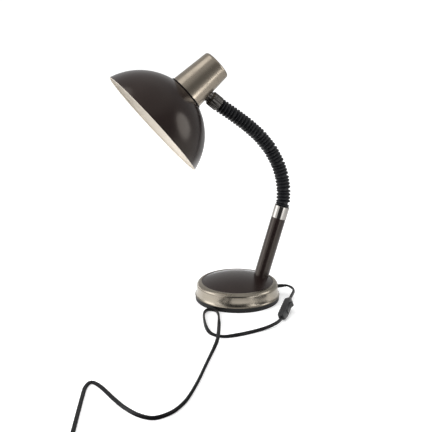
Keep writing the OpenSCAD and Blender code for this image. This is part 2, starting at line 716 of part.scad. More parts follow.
module coupler() {
    r = coupler_d / 2;
    low = coupler_neck_h;
    high = coupler_neck_h + coupler_h;
    profile = [
        [thread_d / 2 + slip, -6], [coupler_neck_d / 2, -6], [coupler_neck_d / 2, low],
        [r - 2, low], [r, low + 2], [r, high - 2.4], [r - 2.4, high], [thread_d / 2 + slip, high]
    ];
    flute_r = 2.6;
    color([0.25, 0.25, 0.25]) at_head() difference() {
        at_coupler() difference() {
            rotate_extrude() polygon(profile);
            for (k = [0:flutes - 1]) rotate([0, 0, 360 * (k + 0.5) / flutes])
                translate([r + flute_r - flute_depth, 0, low + 2])
                    cylinder(r = flute_r, h = high);
        }
        housing_shape(slip);
        rotate([0, -head_lean, 0]) translate(-head_pos) at_link(last_link)
            translate([0, 0, link_len(last_link) - 2]) cylinder(r = ball_r + slip, h = sleeve_plug_h + 2);
    }
}

module coupler_nut() {
    color([0.65, 0.65, 0.65]) at_head() at_coupler()
        hex_nut(-bracket_seat - bracket_t - thin_nut_h, thin_nut_h, thread_d / 2 + slip);
}

// ================= head =================
housing_slope = atan((housing_r - housing_top_r) / housing_h);
// Half outline of the housing, grown by g: from its open end to the middle of its closed end
function housing_outline(g) = concat([[housing_r + g, housing_z]],
    arc(housing_top_r - housing_round, housing_z + housing_h - housing_round, housing_round + g,
        housing_slope, 90, 6), [[0, housing_z + housing_h + g]]);
function turned(v) = [for (i = [len(v) - 1:-1:0]) v[i]];
module housing_shape(g) {
    rotate_extrude() polygon(concat([[0, housing_z]], housing_outline(g)));
}

module housing() {
    color([0.68, 0.64, 0.58]) at_head() difference() {
        rotate_extrude() polygon(concat(housing_outline(0), turned(housing_outline(-housing_wall))));
        at_coupler() translate([0, 0, -wall_cut / 2]) cylinder(r = thread_d / 2 + slip, h = wall_cut);
    }
}

module shade_gasket() {
    color([0.08, 0.08, 0.08]) at_head()
        pipe(gasket_d / 2, housing_r - 5, shade_h, housing_z);
}

module shade() {
    color([0.2, 0.16, 0.15]) at_head() difference() {
        intersection() {
            translate([0, 0, shade_centre_z]) sphere(r = shade_r, $fn = 144);
            cylinder(r = shade_d, h = shade_h);
        }
        intersection() {
            translate([0, 0, shade_centre_z]) sphere(r = shade_r - shade_wall, $fn = 144);
            translate([0, 0, -1]) cylinder(r = shade_d, h = shade_h - shade_wall + 1);
        }
        cylinder(r = skirt_d / 2 + loose, h = shade_h + 1);
    }
}

// ================= lamp holder and bulb =================
module holder_body() {
    skirt_r = skirt_d / 2;
    r = holder_d / 2;
    chamfer = 4;
    boss = thread_d / 2 + 3;
    profile = [
        [holder_bore, shade_h - skirt_h], [skirt_r, shade_h - skirt_h], [skirt_r, shade_h],
        [shoulder_d / 2, shade_h], [shoulder_d / 2, shade_h + shoulder_h],
        [r, shade_h + shoulder_h], [r, holder_top - chamfer], [r - chamfer, holder_top],
        [boss, holder_top], [boss, bracket_z], [thread_d / 2 + slip, bracket_z],
        [thread_d / 2 + slip, bore_top], [holder_bore, bore_top]
    ];
    color([0.12, 0.11, 0.11]) at_head() rotate_extrude() polygon(profile);
}

module holder_ring_nut() {
    grooves = 24;
    top = shade_h - shade_wall;
    color([0.12, 0.11, 0.11]) at_head() difference() {
        pipe(ring_nut_d / 2, skirt_d / 2 + slip, top - ring_nut_h, top);
        for (k = [0:grooves - 1]) rotate([0, 0, 360 * k / grooves])
            translate([ring_nut_d / 2 + 0.9, 0, top - ring_nut_h - 1])
                cylinder(r = 1.8, h = ring_nut_h - 1);
    }
}

holder_bore = shell_d / 2 + shell_wall + slip;
insert_z = contact_z + 2.4;
bore_top = holder_top - 8;
module holder_shell() {
    color([0.8, 0.7, 0.4]) at_head()
        pipe(holder_bore - slip, shell_d / 2, shade_h - skirt_h + 4, insert_z);
}

module holder_insert() {
    wire_hole_r = 2;
    color([0.85, 0.83, 0.78]) at_head() difference() {
        translate([0, 0, insert_z]) cylinder(r = holder_bore - slip, h = bore_top - insert_z);
        for (s = [-1, 1]) translate([s * 8, 0, insert_z - 1])
            cylinder(r = wire_hole_r, h = bore_top - insert_z + 2);
    }
}

module holder_contact() {
    color([0.8, 0.7, 0.4]) at_head() {
        translate([0, 0, insert_z - 0.8]) cylinder(r = 5.5, h = 0.8);
        translate([0, 0, contact_z + 0.2]) cylinder(r = 2.6, h = insert_z - contact_z - 0.8);
    }
}

bracket_seat = housing_wall + 0.9;   // depth of the bracket's leg below the wall at the thread
// An angle of sheet steel: one leg lies on the housing's wall under the coupler's nut,
// the other carries the holder
module holder_bracket() {
    leg = 14;
    top = bracket_z + bracket_t;
    color([0.7, 0.7, 0.7]) at_head() difference() {
        intersection() {
            union() {
                translate([-9, -bracket_w / 2, bracket_z]) cube([housing_r + 9, bracket_w, bracket_t]);
                intersection() {
                    at_coupler() translate([-housing_r, -bracket_w / 2, -bracket_seat - bracket_t])
                        cube([2 * housing_r, bracket_w, bracket_t]);
                    translate([0, -bracket_w / 2, coupler_z - leg / 2])
                        cube([housing_r, bracket_w, top - coupler_z + leg / 2]);
                }
            }
            housing_shape(-housing_wall - 0.05);
        }
        translate([0, 0, bracket_z - 1]) cylinder(r = thread_d / 2 + slip, h = bracket_t + 2);
        at_coupler() translate([0, 0, -wall_cut]) cylinder(r = thread_d / 2 + slip, h = wall_cut + 2);
    }
}

module holder_nipple() {
    color([0.75, 0.7, 0.5]) at_head()
        pipe(thread_d / 2, thread_bore / 2, holder_top - 4, bracket_z + bracket_t + nut_h);
}

module holder_nut() {
    color([0.65, 0.65, 0.65]) at_head()
        hex_nut(bracket_z + bracket_t, nut_h - 1, thread_d / 2 + slip);
}

// A point on the coupler's axis, d inside the housing's wall
coupler_lean = coupler_dir - head_lean + 180;
function on_coupler(d) = [housing_wall_r(coupler_z), 0, coupler_z] - d * dirv(coupler_lean);
module inner_flex_head() {
    turn_x = on_coupler(0)[0] - 8;
    top = bracket_z + bracket_t + nut_h;
    route = [
        on_coupler(-3), on_coupler(1.5), on_coupler(5.2) + [0, 0.3, 0],
        [turn_x + 0.4, 2.2, coupler_z - 0.8], [turn_x, 5.5, coupler_z + 1],
        [turn_x - 0.6, 10, coupler_z + 5.5], [turn_x - 2.6, 13.2, coupler_z + 12],
        [turn_x - 5, 13.6, coupler_z + 19], [turn_x - 8.4, 12, coupler_z + 26],
        [7.6, 7, top + 7], [2.4, 2.2, top + 8], [0, 0, top + 3], [0, 0, top - 6]
    ];
    color([0.15, 0.15, 0.15]) at_head()
        sweep([for (p = smooth(route, 2)) concat(p, 0)], cord_t, cord_t, [0.3, 1, 0.2], 8,
            -dirv(coupler_lean), [0, 0, -1]);
}

glass_wall = 0.8;
cap_wall = 0.5;
bulb_cap_r = bulb_cap_d / 2;
module bulb_glass() {
    tip = contact_z - bulb_h;
    neck_z = contact_z - bulb_cap_h;
    neck_r = bulb_cap_r - cap_wall - slip;
    centre_z = tip + bulb_d / 2;
    function skin(r, neck) = concat([[0, centre_z - r]], arc(0, centre_z, r, -80, 38, 14),
        [[neck, neck_z - 0.4], [neck, neck_z + 5]]);
    color([1, 0.97, 0.88]) at_head() rotate_extrude() polygon(concat(
        skin(bulb_d / 2, neck_r), turned(skin(bulb_d / 2 - glass_wall, neck_r - glass_wall))));
}

module bulb_cap() {
    z = contact_z - bulb_cap_h;
    profile = [
        [bulb_cap_r - cap_wall, z], [bulb_cap_r, z], [bulb_cap_r, contact_z - 4], [5, contact_z],
        [0, contact_z], [0, contact_z - 1.2], [4.6, contact_z - 1.2],
        [bulb_cap_r - cap_wall, contact_z - 4.6]
    ];
    color([0.75, 0.75, 0.72]) at_head() rotate_extrude() polygon(profile);
}

// ================= cord, switch and plug =================
module cord_upper() {
    flat_cord(upper_route, [0, 0, 1], outlet_dir, -switch_dir);
}

module cord_lower() {
    flat_cord(lower_route, [0, 0, 1], -switch_dir, coil_in_dir);
}

module cord_coil() {
    color([0.13, 0.13, 0.13])
        sweep(coil_path, cord_w / cos(30), cord_t, [0, 0, 1], 6, coil_in_dir, coil_out_dir);
}

module cord_tail() {
    flat_cord(tail_route, [0, 0, 1], coil_out_dir, plug_dir);
}

// Local x along the cord, z out through the rocker
module at_switch() translate(switch_pos) rotate([0, -switch_tilt, switch_yaw])
    rotate([90 - switch_roll, 0, 0]) children();
half_t = switch_t / 2;
switch_end_w = 8.4;  // width of the shells' ends
switch_end_t = 3.8;  // height of the front shell at its ends
module switch_outline(inset) {
    l = switch_l / 2 - inset;
    w = switch_w / 2 - inset;
    e = switch_end_w / 2 - inset;
    polygon([[-l, -e], [-l + 1, -e - 0.8], [-l + 6, -w], [l - 6, -w], [l - 1, -e - 0.8], [l, -e],
        [l, e], [l - 1, e + 0.8], [l - 6, w], [-l + 6, w], [-l + 1, e + 0.8], [-l, e]]);
}
// Side view: a flat back, and a front that falls off from the rocker to both ends
module switch_side() {
    l = switch_l / 2;
    m = rocker_l / 2 + 2.5;
    rotate([90, 0, 0]) linear_extrude(height = switch_w + 2, center = true)
        polygon([[-l, -half_t + 1], [-l + 4, -half_t], [l - 4, -half_t], [l, -half_t + 1],
            [l, switch_end_t], [m, half_t], [-m, half_t], [-l, switch_end_t]]);
}
module switch_half(side) {
    low = side < 0 ? -half_t : 0;
    difference() {
        intersection() {
            translate([0, 0, low]) linear_extrude(height = half_t) switch_outline(0);
            switch_side();
        }
        translate([0, 0, side < 0 ? -half_t + switch_wall : -1])
            linear_extrude(height = half_t - switch_wall + 1) intersection() {
                switch_outline(switch_wall);
                square([rocker_l + 4, switch_w], center = true);
            }
    }
}
screw_x = switch_l / 2 - 6.5;
screw_r = 1.2;
module at_switch_screws() for (s = [-1, 1]) translate([s * screw_x, 0, 0]) children();
module switch_back() {
    color([0.16, 0.16, 0.16]) at_switch() difference() {
        switch_half(-1);
        at_switch_screws() {
            translate([0, 0, -half_t - 1]) cylinder(r = screw_r + slip, h = switch_t);
            translate([0, 0, -half_t - 1]) cylinder(r = 2 * screw_r, h = 3);
        }
    }
}
rocker_pivot_z = half_t - 2.2;
rocker_pin_r = 1.1;
rocker_pin_h = 1.1;  // reach of the rocker's pins beyond its sides
module switch_front() {
    color([0.2, 0.2, 0.2]) at_switch() difference() {
        switch_half(1);
        translate([-rocker_l / 2 - loose, -rocker_w / 2 - loose, -1])
            cube([rocker_l + 2 * loose, rocker_w + 2 * loose, switch_t]);
        translate([0, -rocker_w / 2 - rocker_pin_h - loose, rocker_pivot_z]) rotate([-90, 0, 0])
            cylinder(r = rocker_pin_r + slip / 2, h = rocker_w + 2 * (rocker_pin_h + loose));
        at_switch_screws() translate([0, 0, -1]) cylinder(r = screw_r + slip, h = 4);
    }
}
module switch_rocker() {
    h = rocker_l / 2;
    rise = 3.2;
    low = -2.4;
    color([0.3, 0.3, 0.3]) at_switch() translate([0, 0, rocker_pivot_z])
        rotate([0, -rocker_swing / 2, 0]) union() {
            rotate([90, 0, 0]) translate([0, 0, -rocker_w / 2]) linear_extrude(height = rocker_w)
                polygon([[-h + 0.7, low + 1.8], [-3, low], [3, low], [h - 0.7, low + 1.8],
                    [h - 0.4, 1.8 + rise * 0.5], [h - 1.2, 2 + rise], [h - 3, 2 + rise],
                    [h * 0.45, 1.8 + rise * 0.5], [0, 1.6 + rise * 0.35],
                    [-h * 0.45, 1.8 + rise * 0.5], [-h + 3, 2 + rise], [-h + 1.2, 2 + rise],
                    [-h + 0.4, 1.8 + rise * 0.5]]);
            rotate([90, 0, 0]) translate([0, 0, -rocker_w / 2 - rocker_pin_h])
                cylinder(r = rocker_pin_r, h = rocker_w + 2 * rocker_pin_h);
        }
}
module switch_contacts() {
    tongue = 4;
    color([0.8, 0.7, 0.4]) at_switch() for (s = [-1, 1])
        translate([s * 11 - 3.5, -tongue / 2, -half_t + switch_wall]) {
            cube([7, tongue, 0.8]);
            translate([3, 0, 0.8]) cube([1, tongue, 1.6]);
        }
}
module switch_screws() {
    color([0.6, 0.6, 0.6]) at_switch() at_switch_screws() {
        translate([0, 0, -half_t + 0.6]) cylinder(r = 1.8 * screw_r, h = 1.4);
        translate([0, 0, -half_t + 1.8]) cylinder(r = screw_r, h = half_t + 1);
    }
}

module at_plug() translate(plug_start)
    rotate([0, 0, atan2(plug_dir[1], plug_dir[0])]) rotate([0, 90, 0]) children();
module plug_body() {
    w = plug_w / 2;
    l = plug_tail_h + plug_l;
    rear_w = 9;
    side_t = plug_t / 2;
    color([0.1, 0.1, 0.1]) at_plug() {
        cylinder(r1 = cord_w / 2 + 0.6, r2 = 5, h = plug_tail_h);
        intersection() {
            translate([-20, 0, 0]) rotate([90, 0, 90]) linear_extrude(height = 40) polygon([
                [-rear_w + 2, plug_tail_h - eps], [-rear_w, plug_tail_h + 2], [-w + 5, l - 16],
                [-w + 1, l - 8], [-w, l], [w, l], [w - 1, l - 8], [w - 5, l - 16],
                [rear_w, plug_tail_h + 2], [rear_w - 2, plug_tail_h - eps]]);
            translate([0, 20, 0]) rotate([90, 0, 0]) linear_extrude(height = 40) polygon([
                [-5, plug_tail_h - eps], [-side_t, plug_tail_h + 8], [-side_t, l],
                [side_t, l], [side_t, plug_tail_h + 8], [5, plug_tail_h - eps]]);
        }
    }
}
module plug_pins() {
    l = plug_tail_h + plug_l;
    color([0.8, 0.8, 0.75]) at_plug() for (s = [-1, 1])
        translate([0, s * pin_gap / 2, l]) {
            cylinder(d = pin_d, h = pin_l - 1);
            translate([0, 0, pin_l - 1]) cylinder(d1 = pin_d, d2 = pin_d - 1.6, h = 1);
        }
}

foot_pad();
base_tray();
tray_screws();
base_weight();
base_ring();
base_cover();
cord_relief();
inner_flex_base();
post_tube();
post_plug();
post_nipple();
post_washer();
post_nut();
collar();
gooseneck_foot();
gooseneck_nut();
sleeve_foot();
sleeve_link(1);  // sleeve_1
sleeve_link(2);  // sleeve_2
sleeve_link(3);  // sleeve_3
sleeve_link(4);  // sleeve_4
sleeve_link(5);  // sleeve_5
sleeve_link(6);  // sleeve_6
sleeve_link(7);  // sleeve_7
gooseneck_link(1);  // gooseneck_1
gooseneck_link(2);  // gooseneck_2
gooseneck_link(3);  // gooseneck_3
gooseneck_link(4);  // gooseneck_4
gooseneck_link(5);  // gooseneck_5
gooseneck_link(6);  // gooseneck_6
gooseneck_link(7);  // gooseneck_7
sleeve_head();
gooseneck_head();
coupler();
coupler_nut();
housing();
shade_gasket();
shade();
holder_body();
holder_ring_nut();
holder_shell();
holder_insert();
holder_contact();
holder_bracket();
holder_nipple();
holder_nut();
inner_flex_head();
bulb_glass();
bulb_cap();
cord_upper();
switch_back();
switch_front();
switch_rocker();
switch_contacts();
switch_screws();
cord_lower();
cord_coil();
cord_tail();
plug_body();
plug_pins();
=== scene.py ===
# %% [markdown]
# # A desk lamp with a dome shade
# The construction of the lamp comes ready from its frame: every screw, tube and shell is already
# in its place, in metres, with its foot on z = 0. This script sets the camera, gives each piece
# its finish, and replaces the pieces that want more shape than the frame has: the cord and its
# strain relief, the ribbed sleeve of the neck, the switch, the plug and the dome. The stage and
# the lamps come last.

from math import cos, pi, radians, sin, tan

import bmesh
import bpy
from mathutils import Matrix, Vector


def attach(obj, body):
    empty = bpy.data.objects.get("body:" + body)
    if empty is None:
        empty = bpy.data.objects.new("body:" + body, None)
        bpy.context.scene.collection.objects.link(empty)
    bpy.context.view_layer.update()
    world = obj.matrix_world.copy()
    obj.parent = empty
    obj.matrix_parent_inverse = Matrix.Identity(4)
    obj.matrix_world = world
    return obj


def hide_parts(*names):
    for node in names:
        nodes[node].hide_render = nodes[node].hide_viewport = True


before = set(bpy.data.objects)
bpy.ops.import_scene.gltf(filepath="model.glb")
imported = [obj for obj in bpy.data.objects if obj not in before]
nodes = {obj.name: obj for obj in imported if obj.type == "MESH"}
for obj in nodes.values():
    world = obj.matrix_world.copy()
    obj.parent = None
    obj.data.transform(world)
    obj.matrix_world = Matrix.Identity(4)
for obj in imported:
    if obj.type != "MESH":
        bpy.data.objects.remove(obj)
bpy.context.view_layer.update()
mm = 0.001

# %% [markdown]
# ## The camera
# The camera comes first, because it decides where the loose cord may lie. It stands at the height
# of a person who sits at the table, to the left of the lamp, and looks a little down on its base.
# A long lens keeps the picture nearly free of perspective, as in a shop's picture.

# %% Camera
camera_at = Vector((-475.4, -1380.7, 563.3)) * mm
camera_turn = 17.608    # degrees to the right of straight along Y
camera_down = 16.115    # degrees below level
view_angle = 26.0       # degrees across the picture
sensor_width = 36.0

camera_data = bpy.data.cameras.new("camera")
camera_data.sensor_fit = "HORIZONTAL"
camera_data.sensor_width = sensor_width
camera_data.lens = sensor_width / 2 / tan(radians(view_angle / 2))
camera_data.clip_start = 0.01
camera_data.clip_end = 50.0
camera = bpy.data.objects.new("camera", camera_data)
camera.location = camera_at
camera.rotation_euler = (radians(90 - camera_down), 0, radians(-camera_turn))
bpy.context.collection.objects.link(camera)
bpy.context.scene.camera = camera
print("camera lens", round(camera_data.lens, 2), "mm")

# %% [markdown]
# ## Small helpers for materials
# Every finish here is a Principled shader, with its even values typed on the shader's own
# sockets. What varies over the surface, such as brush marks, dust or orange peel, comes from
# noise on Object coordinates, so it sits still on the piece when the lamp is bent.


# %% Material helpers
def new_material(name, colour, rough, metal=0.0, **more):
    """A material with one Principled shader, and its node tree."""
    material = bpy.data.materials.new(name)
    material.use_nodes = True
    tree = material.node_tree
    shader = tree.nodes["Principled BSDF"]
    shader.inputs["Base Color"].default_value = (*colour, 1)
    shader.inputs["Roughness"].default_value = rough
    shader.inputs["Metallic"].default_value = metal
    for socket, value in more.items():
        shader.inputs[socket.replace("_", " ")].default_value = value
    material.diffuse_color = (*colour, 1)
    return material, tree, shader


def add_node(tree, kind, **values):
    """A node of a tree, with its properties or sockets set by name."""
    node = tree.nodes.new("ShaderNode" + kind)
    for key, value in values.items():
        if hasattr(node, key):
            setattr(node, key, value)
        else:
            node.inputs[key.replace("_", " ")].default_value = value
    return node


def noise(tree, scale, detail=3.0):
    """Noise on the piece's own coordinates."""
    place = add_node(tree, "TexCoord")
    texture = add_node(tree, "TexNoise", Scale=scale, Detail=detail)
    tree.links.new(place.outputs["Object"], texture.inputs["Vector"])
    return texture.outputs["Fac"]


def ramp(tree, factor, low, high, start=0.3, end=0.7):
    """Maps a factor to a range of values, for roughness and the like."""
    node = add_node(tree, "MapRange")
    node.inputs["From Min"].default_value = start
    node.inputs["From Max"].default_value = end
    node.inputs["To Min"].default_value = low
    node.inputs["To Max"].default_value = high
    tree.links.new(factor, node.inputs["Value"])
    return node.outputs["Result"]


def mix_colour(tree, factor, first, second):
    """Mixes two colours by a factor."""
    node = add_node(tree, "Mix", data_type="RGBA")
    node.inputs["A"].default_value = (*first, 1)
    node.inputs["B"].default_value = (*second, 1)
    tree.links.new(factor, node.inputs["Factor"])
    return node.outputs["Result"]


def bump(tree, shader, height, strength, distance):
    """Feeds a height into the shader's normal."""
    node = add_node(tree, "Bump", Strength=strength, Distance=distance)
    tree.links.new(height, node.inputs["Height"])
    tree.links.new(node.outputs["Normal"], shader.inputs["Normal"])


# %% [markdown]
# The floor and the room need a little arithmetic as well: Math nodes, soft steps, a blend between
# two values and the angle between a direction and another one.


# %% Helpers for the floor and the room
def compute(tree, operation, first, second):
    """A Math node on a socket and a socket or number."""
    node = add_node(tree, "Math", operation=operation)
    tree.links.new(first, node.inputs[0])
    if isinstance(second, (int, float)):
        node.inputs[1].default_value = second
    else:
        tree.links.new(second, node.inputs[1])
    return node.outputs["Value"]


def soft_step(tree, value, start, end, low=0.0, high=1.0):
    """A smooth step of a value from low at start to high at end."""
    result = ramp(tree, value, low, high, start, end)
    result.node.interpolation_type = "SMOOTHSTEP"
    return result


def toward(tree, vector, direction):
    """How much a vector points along a direction, from -1 to 1."""
    unit = add_node(tree, "VectorMath", operation="NORMALIZE")
    dot = add_node(tree, "VectorMath", operation="DOT_PRODUCT")
    dot.inputs[1].default_value = direction
    tree.links.new(vector, unit.inputs[0])
    tree.links.new(unit.outputs["Vector"], dot.inputs[0])
    return dot.outputs["Value"]


def blend_values(tree, factor, first, second):
    """first where the factor is 0, second where it is 1; both may be sockets or numbers."""
    node = add_node(tree, "Mix", data_type="FLOAT")
    tree.links.new(factor, node.inputs["Factor"])
    for socket, value in (("A", first), ("B", second)):
        if isinstance(value, (int, float)):
            node.inputs[socket].default_value = value
        else:
            tree.links.new(value, node.inputs[socket])
    return node.outputs["Result"]


print("helpers ready")

# %% [markdown]
# ## Finishes
# Brown stove enamel covers the dome, the post and the cover of the base. It is nearly black, warm
# and glossy. A flat dark brown would look like plastic, so two noises work on it: a slow one lays
# a thin haze of dust that dulls the gloss in places, and a fine one gives the orange peel of a
# sprayed coat, which breaks the edges of the reflections a little.

# %% Brown enamel
brown = (0.0115, 0.0066, 0.0064)
brown_dusty = (0.0185, 0.0130, 0.0115)
warm_gloss = (1.0, 0.9, 0.8, 1.0)
enamel, tree, shader = new_material("brown_enamel", brown, 0.2, Specular_Tint=warm_gloss)
dust = noise(tree, 14.0, detail=5.0)
tree.links.new(mix_colour(tree, ramp(tree, dust, 0.0, 0.7, 0.42, 0.72), brown, brown_dusty),
               shader.inputs["Base Color"])
tree.links.new(ramp(tree, dust, 0.15, 0.27), shader.inputs["Roughness"])
bump(tree, shader, noise(tree, 420.0), 0.05, 0.0004)
print("made", enamel.name)

# %% [markdown]
# The housing and the ring of the base are steel with a satin nickel plate. Brushing leaves fine
# lines round the axis. Their noise reads only the distance from the axis and the height along it,
# so it has the same value all the way round. A softer, larger noise gives the tarnish that makes
# such a plate warm and a little uneven.


# %% Satin nickel, brushed round an axis
def brushed_nickel(name, centre, lean, colour, rough):
    """Nickel with brush lines round an axis through a centre, leaning by an angle about Y."""
    material, tree, shader = new_material(name, colour, rough, 1.0)
    place = add_node(tree, "TexCoord")
    turn = add_node(tree, "VectorRotate", rotation_type="Y_AXIS", Center=centre, Angle=-lean)
    shift = add_node(tree, "VectorMath", operation="SUBTRACT")
    shift.inputs[1].default_value = centre
    parts = add_node(tree, "SeparateXYZ")
    tree.links.new(place.outputs["Object"], turn.inputs["Vector"])
    tree.links.new(turn.outputs["Vector"], shift.inputs[0])
    tree.links.new(shift.outputs["Vector"], parts.inputs["Vector"])
    radius = add_node(tree, "VectorMath", operation="LENGTH")
    flat = add_node(tree, "CombineXYZ")
    tree.links.new(parts.outputs["X"], flat.inputs["X"])
    tree.links.new(parts.outputs["Y"], flat.inputs["Y"])
    tree.links.new(flat.outputs["Vector"], radius.inputs[0])
    lines = add_node(tree, "CombineXYZ")
    tree.links.new(radius.outputs["Value"], lines.inputs["X"])
    tree.links.new(parts.outputs["Z"], lines.inputs["Z"])
    brush = add_node(tree, "TexNoise", Scale=1500.0, Detail=2.0)
    tree.links.new(lines.outputs["Vector"], brush.inputs["Vector"])
    tarnish = noise(tree, 26.0, detail=4.0)
    tree.links.new(mix_colour(tree, ramp(tree, tarnish, 0.0, 0.7, 0.4, 0.75), colour,
                              tuple(0.72 * c for c in colour)), shader.inputs["Base Color"])
    tree.links.new(ramp(tree, tarnish, rough - 0.05, rough + 0.1), shader.inputs["Roughness"])
    bump(tree, shader, brush.outputs["Fac"], 0.12, 0.0002)
    return material


head_lean = radians(50)
head_foot = Vector((-140.008, 0, 300.077)) * mm
nickel_ring = brushed_nickel("nickel_ring", (0, 0, 0), 0.0, (0.385, 0.345, 0.285), 0.22)
nickel_housing = brushed_nickel("nickel_housing", tuple(head_foot), head_lean,
                                (0.42, 0.365, 0.295), 0.24)
print("made", nickel_ring.name, "and", nickel_housing.name)

# %% [markdown]
# The other finishes are plainer. Chrome is a bright mirror with faint wipe marks. Rubber and
# vinyl are black, half matt, with a fine grain. Bakelite has a soft gloss, zinc-plated steel and
# brass are metals seen only from inside or below.


# %% Plain finishes
def grained(name, colour, rough, metal=0.0, grain=300.0, depth=0.0003, strength=0.1, vary=0.06,
            **more):
    """A finish with fine grain in its bump and slow variation in its roughness."""
    material, tree, shader = new_material(name, colour, rough, metal, **more)
    tree.links.new(ramp(tree, noise(tree, 30.0), rough - vary, rough + vary),
                   shader.inputs["Roughness"])
    bump(tree, shader, noise(tree, grain), strength, depth)
    return material


chrome = grained("chrome", (0.45, 0.43, 0.405), 0.12, 1.0, grain=90.0, strength=0.02, vary=0.03)
rubber = grained("sleeve_rubber", (0.0074, 0.0078, 0.0098), 0.46, grain=900.0, strength=0.15,
                 Specular_IOR_Level=0.4)
vinyl = grained("cord_vinyl", (0.0048, 0.0048, 0.0053), 0.38, grain=700.0,
                Specular_IOR_Level=0.22)
black_plastic = grained("black_plastic", (0.0062, 0.0060, 0.0058), 0.5, grain=900.0, strength=0.2,
                        Specular_IOR_Level=0.25)
switch_plastic = grained("switch_plastic", (0.0190, 0.0190, 0.0196), 0.42, grain=1200.0,
                         strength=0.25, Specular_IOR_Level=0.4)
gunmetal = grained("coupler_gunmetal", (0.13, 0.123, 0.115), 0.26, 1.0, grain=500.0)
zinc = grained("zinc_steel", (0.55, 0.55, 0.56), 0.35, 1.0)
brass = grained("brass", (0.70, 0.52, 0.24), 0.3, 1.0)
pin_plate = grained("pin_plate", (0.78, 0.76, 0.70), 0.18, 1.0)
bakelite = grained("bakelite", (0.012, 0.011, 0.011), 0.3)
porcelain = grained("porcelain", (0.80, 0.78, 0.72), 0.25)
pad_rubber = grained("pad_rubber", (0.012, 0.012, 0.012), 0.8, grain=1500.0, strength=0.3)
weight_iron = grained("weight_iron", (0.16, 0.155, 0.15), 0.8, grain=400.0, strength=0.5,
                      depth=0.0008)
cream = grained("cream_enamel", (0.545, 0.50, 0.435), 0.42, grain=420.0, strength=0.05)
frosted = grained("bulb_frosted", (0.93, 0.92, 0.88), 0.35, vary=0.03)
cap_metal = grained("bulb_cap_metal", (0.70, 0.69, 0.66), 0.3, 1.0)
print("made the plain finishes")

# %% [markdown]
# Every piece of the frame has one material slot, so its finish is put in slot 0. A dictionary
# says which pieces share a finish; what isn't named stays for the pieces that replace it further
# on.

# %% Finishes on the frame's pieces
finish_of = {
    enamel: ["base_cover", "post_tube"],
    nickel_ring: ["base_ring"],
    nickel_housing: ["housing"],
    chrome: ["collar"],
    gunmetal: ["coupler"],
    black_plastic: ["base_tray", "shade_gasket"],
    pad_rubber: ["foot_pad"],
    weight_iron: ["base_weight"],
    vinyl: ["inner_flex_base", "inner_flex_head"],
    zinc: ["tray_screws", "post_washer", "post_nut", "gooseneck_nut", "post_plug", "coupler_nut",
           "holder_nut", "holder_bracket", "switch_screws", "gooseneck_foot", "gooseneck_head"]
          + [f"gooseneck_{i}" for i in range(1, 8)],
    brass: ["post_nipple", "holder_nipple", "holder_shell", "holder_contact", "switch_contacts"],
    pin_plate: ["plug_pins"],
    bakelite: ["holder_body", "holder_ring_nut"],
    porcelain: ["holder_insert"],
    frosted: ["bulb_glass"],
    cap_metal: ["bulb_cap"],
}


def give(piece, material):
    """Puts a material in every slot of a piece."""
    if not piece.data.materials:
        piece.data.materials.append(material)
    for index in range(len(piece.data.materials)):
        piece.data.materials[index] = material


for material, names in finish_of.items():
    for name in names:
        give(nodes[name], material)
print("finished", sum(len(v) for v in finish_of.values()), "of", len(nodes), "nodes")

# %% [markdown]
# ## The cord
# The cord is flat, with two cores side by side, and it turns over as it goes: on edge along the
# table, flat where it crosses. Its route is a list of points, in millimetres, each with its roll
# in degrees. A curve object could carry the flat section, but its roll is hard to steer. So the
# points are run through the same smooth spline as in the frame, and skinned ring by ring.

# %% Cord section and routes
cord_wide = 5.6 * mm
cord_thick = 3.5 * mm
outlet_turn = radians(-6)
outlet_z = 15.6
switch_at = Vector((48.5, -95, 10.9))
switch_yaw, switch_tilt = radians(55.5), radians(9)
switch_half = 28.5
switch_edge = 70     # roll of the cord where it enters the switch, in degrees
along = Vector((cos(switch_tilt) * cos(switch_yaw), cos(switch_tilt) * sin(switch_yaw),
                sin(switch_tilt)))


def outlet(reach, roll=0):
    """A route point straight out of the outlet."""
    return (reach * cos(outlet_turn), reach * sin(outlet_turn), outlet_z, roll)


def from_switch(reach):
    """A route point on the switch's axis."""
    return (*(switch_at + along * reach), switch_edge)


upper_route = [
    outlet(75.4), outlet(79.4, 5), (84.5, -11, 15.9, 25), (87, -20.5, 16.3, 50),
    (87, -31, 16.6, 65), (83.5, -42, 16.8, 70), from_switch(switch_half + 12),
    from_switch(switch_half + 6), from_switch(switch_half),
]
# The loop beside the base, where the cord comes back and climbs over itself.
lower_route = [
    from_switch(-switch_half), from_switch(-switch_half - 5), (19, -132.6, 5.2, 80),
    (-1, -142, 3.7, 85), (-25, -148.7, 3.1, 85), (-50, -153, 2.9, 60), (-73, -151, 2, 10),
    (-87, -136, 2, 10), (-88, -112, 2.6, 50), (-82, -80, 2.9, 85), (-74, -54, 2.9, 85),
    (-63, -43, 2.9, 85), (-53.9, -50.5, 2.9, 85), (-54.4, -66, 2.9, 85), (-59, -84, 3.2, 75),
    (-65, -103.5, 4, 38), (-73, -127, 5.5, 8), (-82, -152, 5.9, 5), (-91, -173, 5, 25),
]
# The long bend over the table, to where the put-away coil begins.
lower_route += [
    (-104, -196, 3.4, 70), (-125, -233.5, 2.9, 85), (-150, -279.5, 2.9, 85),
    (-176, -322.5, 2.9, 85), (-192.5, -343.5, 2.9, 85), (-210, -358.5, 2.9, 85),
    (-232, -365.5, 2.9, 85), (-248, -355, 2.9, 75), (-261, -331, 2.8, 55), (-270, -301, 2.5, 35),
    (-280, -259, 2.2, 15), (-289, -242, 1.9, 5), (-299, -253.5, 1.9, 0), (-307, -277, 1.9, 0),
    (-319.5, -318, 1.9, 0), (-333, -363, 1.9, 5), (-342.5, -394, 2.4, 45),
]
print("cord routes with", len(upper_route), "and", len(lower_route), "points")

